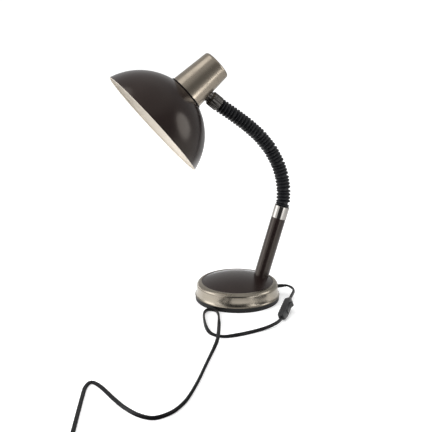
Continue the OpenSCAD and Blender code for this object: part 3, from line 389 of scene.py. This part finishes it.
# %% [markdown]
# The rest of the cord is put away in a coil. It winds inwards on the table for half its turns,
# climbs to a second layer and winds outwards again to the plug.

# %% The coil and the tail
coil_mid = (-319, -438)
coil_from = 162         # where the cord enters, in degrees round the coil
coil_turns = 3.25
coil_radius = 33
coil_pitch = 4.2
coil_lead = 5.6         # straight run at each end of the coil
layer_low = 2.8
layer_gap = 0.7
layer_high = layer_low + 5.6 + layer_gap
coil_steps = 120


def coil_point(angle):
    """A point of the coil, angle in degrees from where the cord enters it."""
    half = coil_turns * 180
    radius = coil_radius - coil_pitch * min(angle, 2 * half - angle) / 360
    climb = min(max((angle - half) / 180 + 0.5, 0), 1)
    height = layer_low + (layer_high - layer_low) * (1 - cos(pi * climb)) / 2
    turn = radians(coil_from + angle)
    return (coil_mid[0] + radius * cos(turn), coil_mid[1] + radius * sin(turn), height, 90)


def heading(angle):
    """The direction of the coil at an angle."""
    turn = radians(coil_from + angle)
    return Vector((-sin(turn), cos(turn), 0))


def beside(point, direction, reach, height, roll=90):
    """A route point beyond an end of the coil."""
    return (point[0] + direction.x * reach, point[1] + direction.y * reach, height, roll)


coil = [coil_point(coil_turns * 360 * k / coil_steps) for k in range(coil_steps + 1)]
coil_in, coil_out = heading(0), heading(coil_turns * 360)
straight = 6            # run that keeps an end of a stretch straight
lower_route += [beside(coil[0], coil_in, -coil_lead - straight, layer_low),
                beside(coil[0], coil_in, -coil_lead, layer_low)]
tail_reach = 54
plug_z = 6.85
tail_route = [
    beside(coil[-1], coil_out, coil_lead, layer_high),
    beside(coil[-1], coil_out, coil_lead + straight, layer_high),
    beside(coil[-1], coil_out, coil_lead + 20, layer_high - 0.6, 85),
    beside(coil[-1], coil_out, coil_lead + 36, plug_z + 0.4, 85),
    beside(coil[-1], coil_out, coil_lead + tail_reach - straight, plug_z),
    beside(coil[-1], coil_out, coil_lead + tail_reach, plug_z),
]
print("coil of", coil_turns, "turns, with a tail of", tail_reach, "mm")

# %% [markdown]
# A route becomes a solid cord in three steps: more points on a smooth curve through it, a lift
# where the rolled section would go below the table, and a skin over one section a point.


# %% Smoothing a route and skinning the cord
section_edge = (2.8, 0.72)      # outermost points of a quarter of the section, in millimetres
section_face = (1.16, 1.75)
smooth_below = 38.0             # edges that bend less than this, in degrees, are shaded smooth


def spline(p, q, r, s, t):
    """One value of the smooth curve between q and r."""
    return 0.5 * (2 * q + (r - p) * t + (2 * p - 5 * q + 4 * r - s) * t * t
                  + (3 * q - p - 3 * r + s) * t ** 3)


def smooth(route, steps):
    """More points on the smooth curve through a route."""
    out = []
    for i in range(len(route) - 1):
        four = [route[max(i - 1, 0)], route[i], route[i + 1], route[min(i + 2, len(route) - 1)]]
        for k in range(steps):
            out.append(tuple(spline(*values, k / steps) for values in zip(*four)))
    return out + [route[-1]]


def half_rise(roll):
    """Half the height of the section when it is rolled."""
    a = radians(roll)
    return max(wide * abs(sin(a)) + thick * abs(cos(a))
               for wide, thick in (section_edge, section_face))


def laid(route, steps=4):
    """A smooth route that never goes below the table."""
    return [(x, y, max(z, half_rise(roll)), roll) for x, y, z, roll in smooth(route, steps)]


def signed_power(value, power):
    """A power that keeps the sign, for rounded box sections."""
    return abs(value) ** power * (1 if value >= 0 else -1)


def twin_section(count=20):
    """The section of the flat cord: two round cores with a shallow groove between them."""
    points = []
    for k in range(count):
        a = 2 * pi * k / count
        wide = cord_wide / 2 * signed_power(cos(a), 0.75)
        groove = 1 - 0.16 * max(0.0, 1 - abs(wide) / (0.3 * cord_wide)) ** 2
        points.append((wide, cord_thick / 2 * signed_power(sin(a), 0.8) * groove))
    return points


def skin(name, route, sections):
    """A closed mesh along a route: one section a point, bridged, with capped ends."""
    places = [Vector(p[:3]) * mm for p in route]
    mesh = bmesh.new()
    loops = []
    for i, (place, point, section) in enumerate(zip(places, route, sections)):
        ahead = places[min(i + 1, len(places) - 1)] - places[max(i - 1, 0)]
        ahead = ahead.normalized()
        side = ahead.cross(Vector((0, 0, 1))).normalized()
        top = side.cross(ahead)
        roll = radians(point[3])
        across = side * cos(roll) + top * sin(roll)
        over = top * cos(roll) - side * sin(roll)
        ring = [mesh.verts.new(place + across * u + over * v) for u, v in section]
        edges = [mesh.edges.new((ring[k], ring[(k + 1) % len(ring)])) for k in range(len(ring))]
        if loops:
            bmesh.ops.bridge_loops(mesh, edges=loops[-1] + edges)
        loops.append(edges)
    for edges in (loops[0], loops[-1]):
        bmesh.ops.edgeloop_fill(mesh, edges=edges)
    return finish_mesh(name, mesh)


def finish_mesh(name, mesh):
    """Turns a bmesh into an object whose faces point out, smooth except over sharp edges."""
    bmesh.ops.recalc_face_normals(mesh, faces=mesh.faces)
    for face in mesh.faces:
        face.smooth = True
    for edge in mesh.edges:
        if len(edge.link_faces) == 2 and edge.calc_face_angle(0.0) > radians(smooth_below):
            edge.smooth = False
    data = bpy.data.meshes.new(name)
    mesh.to_mesh(data)
    mesh.free()
    piece = bpy.data.objects.new(name, data)
    bpy.context.collection.objects.link(piece)
    return piece


def length_of(route):
    """Length of a route in metres."""
    places = [Vector(p[:3]) * mm for p in route]
    return sum((b - a).length for a, b in zip(places, places[1:]))


# %% Both free cords
flat_section = twin_section()
upper_path = laid(upper_route)
cord_to_switch = skin("cord_to_switch", upper_path, [flat_section] * len(upper_path))
give(cord_to_switch, vinyl)
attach(cord_to_switch, "base")
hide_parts("cord_upper")

lower_path = laid(lower_route) + coil + laid(tail_route)
cord_to_plug = skin("cord_to_plug", lower_path, [flat_section] * len(lower_path))
give(cord_to_plug, vinyl)
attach(cord_to_plug, "base")
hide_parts("cord_lower", "cord_coil", "cord_tail")
print("cords", round(length_of(upper_path), 3), "m and", round(length_of(lower_path), 3), "m")

# %% [markdown]
# ## The strain relief
# Where the cord leaves the ring sits a soft black sleeve that keeps it from kinking. It has a
# flange against the wall, then tapers down to the cord, with a few cuts across it that let it
# bend. It is skinned along the cord's own route like the cord, with a section that changes from
# ring to ring.

# %% Strain relief
relief_from = 62.0
relief_reach = 84.0
wall_at = 67.5
# Reach from the base's middle, half width and half thickness.
relief_shape = [
    (relief_from, 3.8, 2.4), (67.2, 3.8, 2.4), (67.25, 5.2, 2.95), (68.2, 5.2, 2.95),
    (68.6, 4.7, 2.7), (70.0, 4.4, 2.6), (relief_reach, 3.1, 2.1),
]
relief_cuts = [71.5, 74.5, 77.5, 80.5]
cut_depth = 0.5
end_round = 0.35


def relief_size(reach):
    """Half width and half thickness of the strain relief at a reach from the base's middle."""
    for (a, wide_a, thick_a), (b, wide_b, thick_b) in zip(relief_shape, relief_shape[1:]):
        if reach <= b:
            t = (reach - a) / (b - a)
            return wide_a + (wide_b - wide_a) * t, thick_a + (thick_b - thick_a) * t
    return relief_shape[-1][1:]


def box_section(wide, thick, count=24):
    """A rounded box section of half sizes in millimetres."""
    return [(wide * mm * signed_power(cos(2 * pi * k / count), 0.7),
             thick * mm * signed_power(sin(2 * pi * k / count), 0.7)) for k in range(count)]


stops = [relief_from, 64.0] + [reach for reach, wide, thick in relief_shape[1:-1]]
for cut in relief_cuts:
    stops += [cut - 0.7, cut - 0.5, cut + 0.5, cut + 0.7]
stops += [83.0, 83.8, relief_reach]
fine_path = [outlet(relief_from), outlet(wall_at)] + laid(upper_route, 12)
reaches = [relief_from]
for a, b in zip(fine_path, fine_path[1:]):
    reaches.append(reaches[-1] + (Vector(b[:3]) - Vector(a[:3])).length)


def on_relief(reach):
    """The route point at a reach along the cord."""
    k = max(i for i in range(len(reaches) - 1) if reaches[i] <= reach + 1e-6)
    t = (reach - reaches[k]) / (reaches[k + 1] - reaches[k])
    return tuple(a + (b - a) * t for a, b in zip(fine_path[k], fine_path[k + 1]))


relief_sections = []
for reach in stops:
    wide, thick = relief_size(reach)
    cut = cut_depth if any(abs(reach - c) < 0.6 for c in relief_cuts) else 0.0
    end = end_round if reach == relief_reach else 0.0
    relief_sections.append(box_section(wide - cut - end, thick - 0.6 * cut - end))
strain_relief = skin("strain_relief", [on_relief(r) for r in stops], relief_sections)
give(strain_relief, black_plastic)
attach(strain_relief, "base")
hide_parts("cord_relief")
print("strain relief", round(relief_reach - relief_from), "mm long")

# %% [markdown]
# ## Moulded pieces
# Moulded rubber and plastic have no sharp edge. The frame's pieces have the right shape but hard
# edges, so a copy of each has its edges rounded by a few tenths of a millimetre. That gives it
# the thin bright lines that show that it is moulded.


# %% Rounded copies
def softened(name, source, width, material, body="base"):
    """A copy of a frame piece whose sharp edges are rounded to a width in millimetres."""
    mesh = bmesh.new()
    mesh.from_mesh(nodes[source].data)
    mesh.transform(nodes[source].matrix_world)
    bmesh.ops.remove_doubles(mesh, verts=mesh.verts, dist=1e-6)
    bmesh.ops.dissolve_limit(mesh, angle_limit=radians(1), verts=mesh.verts, edges=mesh.edges)
    sharp = [e for e in mesh.edges
             if len(e.link_faces) == 2 and e.calc_face_angle(0.0) > radians(28)]
    bmesh.ops.bevel(mesh, geom=sharp, offset=width * mm, affect="EDGES", segments=2,
                    profile=0.5, material=-1, clamp_overlap=True)
    piece = finish_mesh(name, mesh)
    for face in piece.data.polygons:
        face.material_index = 0
    give(piece, material)
    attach(piece, body)
    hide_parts(source)
    print(name, "rounded at", len(sharp), "edges")


# %% [markdown]
# ## The ribbed sleeve
# On the real lamp the sleeve is one long corrugated tube. The neck bends over eight joints here,
# so each link carries its own length of ribs, with a rounded end that turns in the cup of the
# next one, and no gap opens when the neck is bent. The ribs are thin and rather sharp in the
# photograph, so their edges are rounded very little.

# %% Sleeve links
sleeve_rides = {"sleeve_foot": "base", "sleeve_head": "head"}
sleeve_rides.update({f"sleeve_{i}": f"neck_{i}" for i in range(1, 8)})
for source, body in sleeve_rides.items():
    softened("ribbed_" + source, source, 0.12, rubber, body)

# %% [markdown]
# ## Switch and plug
# The switch has two half shells that meet in a seam along its sides, and a key that rocks between
# them. The plug is one moulded piece with grips on its sides.

# %% Switch and plug
softened("switch_shell_back", "switch_back", 0.35, switch_plastic)
softened("switch_shell_front", "switch_front", 0.35, switch_plastic)
softened("switch_key", "switch_rocker", 0.3, switch_plastic, "rocker")
softened("plug_shell", "plug_body", 0.5, black_plastic)

# %% [markdown]
# ## The dome
# The shade is spun from one sheet 0.8 mm thick: a flat top round the lamp holder, a sphere below
# it and a bead that is rolled inwards at the rim. Its half outline goes down the inside, round
# the bead and up the outside, and is spun round the dome's own axis before it is tilted into
# place. The outside and the bead's outer half get the brown enamel. All that lies within the wall
# is cream, so that it throws the light down.

# %% Dome
dome_mid = -24.14       # height of the sphere's middle over the rim
dome_r = 98.8
wall = 0.8
dome_top = 70.5
hole_r = 19.8           # the lamp holder's hole in the flat top
bead_r, bead_z = 94.75, 1.05
arc_steps = 30


def dome_arc(grow, start, end):
    """Points along the sphere's section, angles in degrees from its axis."""
    angles = [radians(start + (end - start) * k / arc_steps) for k in range(arc_steps + 1)]
    return [((dome_r + grow) * sin(a), dome_mid + (dome_r + grow) * cos(a)) for a in angles]


inside = [(hole_r, dome_top - wall), (27.6, dome_top - wall)] + dome_arc(-wall, 17.2, 74.3)
bead = [(bead_r - 1.0 * cos(radians(a)), bead_z - 1.05 * sin(radians(a)))
        for a in range(-30, 181, 21)]
outside = dome_arc(0, 75.2, 17.4) + [(28.6, 70.37), (27.7, dome_top), (hole_r, dome_top)]
mesh = bmesh.new()
ring = [mesh.verts.new((r * mm, 0, z * mm)) for r, z in inside + bead + outside]
edges = [mesh.edges.new((ring[k], ring[(k + 1) % len(ring)])) for k in range(len(ring))]
bmesh.ops.spin(mesh, geom=ring + edges, cent=(0, 0, 0), axis=(0, 0, 1), angle=2 * pi, steps=144,
               use_merge=True)
bmesh.ops.remove_doubles(mesh, verts=mesh.verts, dist=1e-6)
for face in mesh.faces:
    middle = face.calc_center_median() / mm
    depth = (middle - Vector((0, 0, dome_mid))).length
    within = depth < dome_r - wall / 2 and middle.z < dome_top - wall / 2
    face.material_index = 1 if within else 0
mesh.transform(Matrix.Translation(head_foot) @ Matrix.Rotation(head_lean, 4, "Y"))
dome = finish_mesh("dome", mesh)
dome.data.materials.append(enamel)
dome.data.materials.append(cream)
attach(dome, "head")
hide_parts("shade")
print("dome with", len(dome.data.polygons), "faces")

# %% [markdown]
# ## The stage
# The lamp stands on a white table in a white room, as in a shop's picture. Both look white to the
# camera and give the lamp only a plain level of light. The table's own glow grows with distance,
# so it stays white towards the horizon and still keeps the shadow near the foot. Glossy enamel
# and metal are drawn by what they mirror, so the room is brighter to the sides and has a dark end
# behind the camera, as a studio has, and the table mirrors darker there and on the right. That
# gives the dome its dark middle and the post its two light edges.

# %% Floor
toward_camera = (-0.407, -0.914, 0.0)
dark_cone = (0.80, 0.90)        # the dark end's soft edge, as the cosine of an angle
floor_half = 14.0
table_white, table_dark = (0.9, 0.9, 0.9), (0.04, 0.04, 0.04)
floor_mesh = bmesh.new()
bmesh.ops.create_grid(floor_mesh, x_segments=1, y_segments=1, size=floor_half)
floor = finish_mesh("floor", floor_mesh)
floor_white, tree, shader = new_material("floor_white", table_white, 1.0, Specular_IOR_Level=0.0)
paths = add_node(tree, "LightPath")
seen = compute(tree, "MAXIMUM", paths.outputs["Is Camera Ray"], paths.outputs["Is Glossy Ray"])
seen = compute(tree, "MAXIMUM", seen, paths.outputs["Is Transmission Ray"])
spot = add_node(tree, "TexCoord")
away = add_node(tree, "VectorMath", operation="LENGTH")
tree.links.new(spot.outputs["Object"], away.inputs[0])
in_cone = soft_step(tree, toward(tree, spot.outputs["Object"], toward_camera), *dark_cone)
dark_end = compute(tree, "MULTIPLY", in_cone, soft_step(tree, away.outputs["Value"], 0.06, 0.2))
parts = add_node(tree, "SeparateXYZ")
tree.links.new(spot.outputs["Object"], parts.inputs["Vector"])
dim_side = soft_step(tree, parts.outputs["X"], 0.1, 0.5, 0.0, 0.6)
mirrored_dark = compute(tree, "MULTIPLY", compute(tree, "MAXIMUM", dark_end, dim_side),
                        paths.outputs["Is Glossy Ray"])
tree.links.new(mix_colour(tree, mirrored_dark, table_white, table_dark),
               shader.inputs["Base Color"])
shader.inputs["Emission Color"].default_value = (1, 1, 1, 1)
glow = compute(tree, "MULTIPLY", seen,
               soft_step(tree, away.outputs["Value"], 0.3, 1.6, 0.3, 0.62))
unlit = soft_step(tree, mirrored_dark, 0.0, 1.0, 1.0, 0.03)
tree.links.new(compute(tree, "MULTIPLY", glow, unlit), shader.inputs["Emission Strength"])
give(floor, floor_white)
print("floor", 2 * floor_half, "m wide")

# %% [markdown]
# The room gives every surface one plain level of light. What it shows in a mirror depends on the
# direction: bright on the left, half bright on the right and behind, dark behind the camera and
# an even ceiling.

# %% World
plain_level = 0.5
mirrored_left, mirrored_right = 1.0, 0.4
mirrored_front, mirrored_ceiling = 0.06, 0.52
world = bpy.data.worlds.new("studio")
bpy.context.scene.world = world
world.use_nodes = True
tree = world.node_tree
background = tree.nodes["Background"]
paths = add_node(tree, "LightPath")
look = add_node(tree, "TexCoord")
parts = add_node(tree, "SeparateXYZ")
tree.links.new(look.outputs["Generated"], parts.inputs["Vector"])
behind = soft_step(tree, parts.outputs["Y"], 0.3, 0.9, 0.28, 0.55)
left = soft_step(tree, parts.outputs["X"], -0.85, -0.45, mirrored_left, 0.0)
right = soft_step(tree, parts.outputs["X"], 0.45, 0.85, 0.0, mirrored_right)
sides = compute(tree, "MAXIMUM", compute(tree, "MAXIMUM", left, right), behind)
front = soft_step(tree, toward(tree, look.outputs["Generated"], toward_camera), *dark_cone)
ceiling = soft_step(tree, parts.outputs["Z"], 0.55, 0.80)

round_room = blend_values(tree, front, sides, mirrored_front)
mirrored = blend_values(tree, ceiling, round_room, mirrored_ceiling)
by_ray = blend_values(tree, paths.outputs["Is Glossy Ray"], plain_level, mirrored)
plain = compute(tree, "MAXIMUM", paths.outputs["Is Camera Ray"],
                paths.outputs["Is Transmission Ray"])
tree.links.new(blend_values(tree, plain, by_ray, 1.0), background.inputs["Strength"])
background.inputs["Color"].default_value = (1, 1, 1, 1)
print("world", world.name)

# %% [markdown]
# Two softboxes stand left and right and draw the long highlights, and a round one high on the
# left and a small panel low in front add to them. A fill on the left lights the cream inside of
# the dome, and a large lamp above gives the plain light and the shadow under the foot. None of
# them shows to the camera, and the fill and the lamp above aren't mirrored either.

# %% Lamps
def soft_lamp(name, place, aim, size, watts, mirrored=True, shape="RECTANGLE"):
    """A large soft lamp that looks at a point, unseen by the camera."""
    data = bpy.data.lights.new(name, "AREA")
    data.shape = shape
    data.size, data.size_y = size
    data.energy = watts
    lamp = bpy.data.objects.new(name, data)
    lamp.location = place
    lamp.rotation_euler = (Vector(aim) - Vector(place)).to_track_quat("-Z", "Y").to_euler()
    lamp.visible_camera = False
    lamp.visible_glossy = mirrored
    bpy.context.collection.objects.link(lamp)


soft_lamp("lamp_right", (1.28, -0.50, 0.6), (0, 0, 0.2), (0.75, 1.0), 4.0, shape="ELLIPSE")
soft_lamp("lamp_left", (-1.6, 0.3, 0.6), (0, 0, 0.2), (1.0, 1.3), 6.5)
soft_lamp("lamp_upper_left", (-0.68, 0.10, 1.26), (-0.08, 0, 0.38), (0.8, 0.8), 1.5,
          shape="ELLIPSE")
soft_lamp("fill_left", (-1.3, -0.35, 0.72), (-0.10, 0, 0.30), (0.6, 0.6), 13, mirrored=False)
soft_lamp("panel_low", (0.31, -0.62, 0.07), (-0.05, 0, 0.25), (0.25, 0.25), 0.6)
soft_lamp("lamp_top", (0.0, 0.1, 1.9), (0, 0, 0), (1.6, 1.6), 16, mirrored=False)
bpy.context.scene.view_settings.view_transform = "Standard"
print("lamps set")
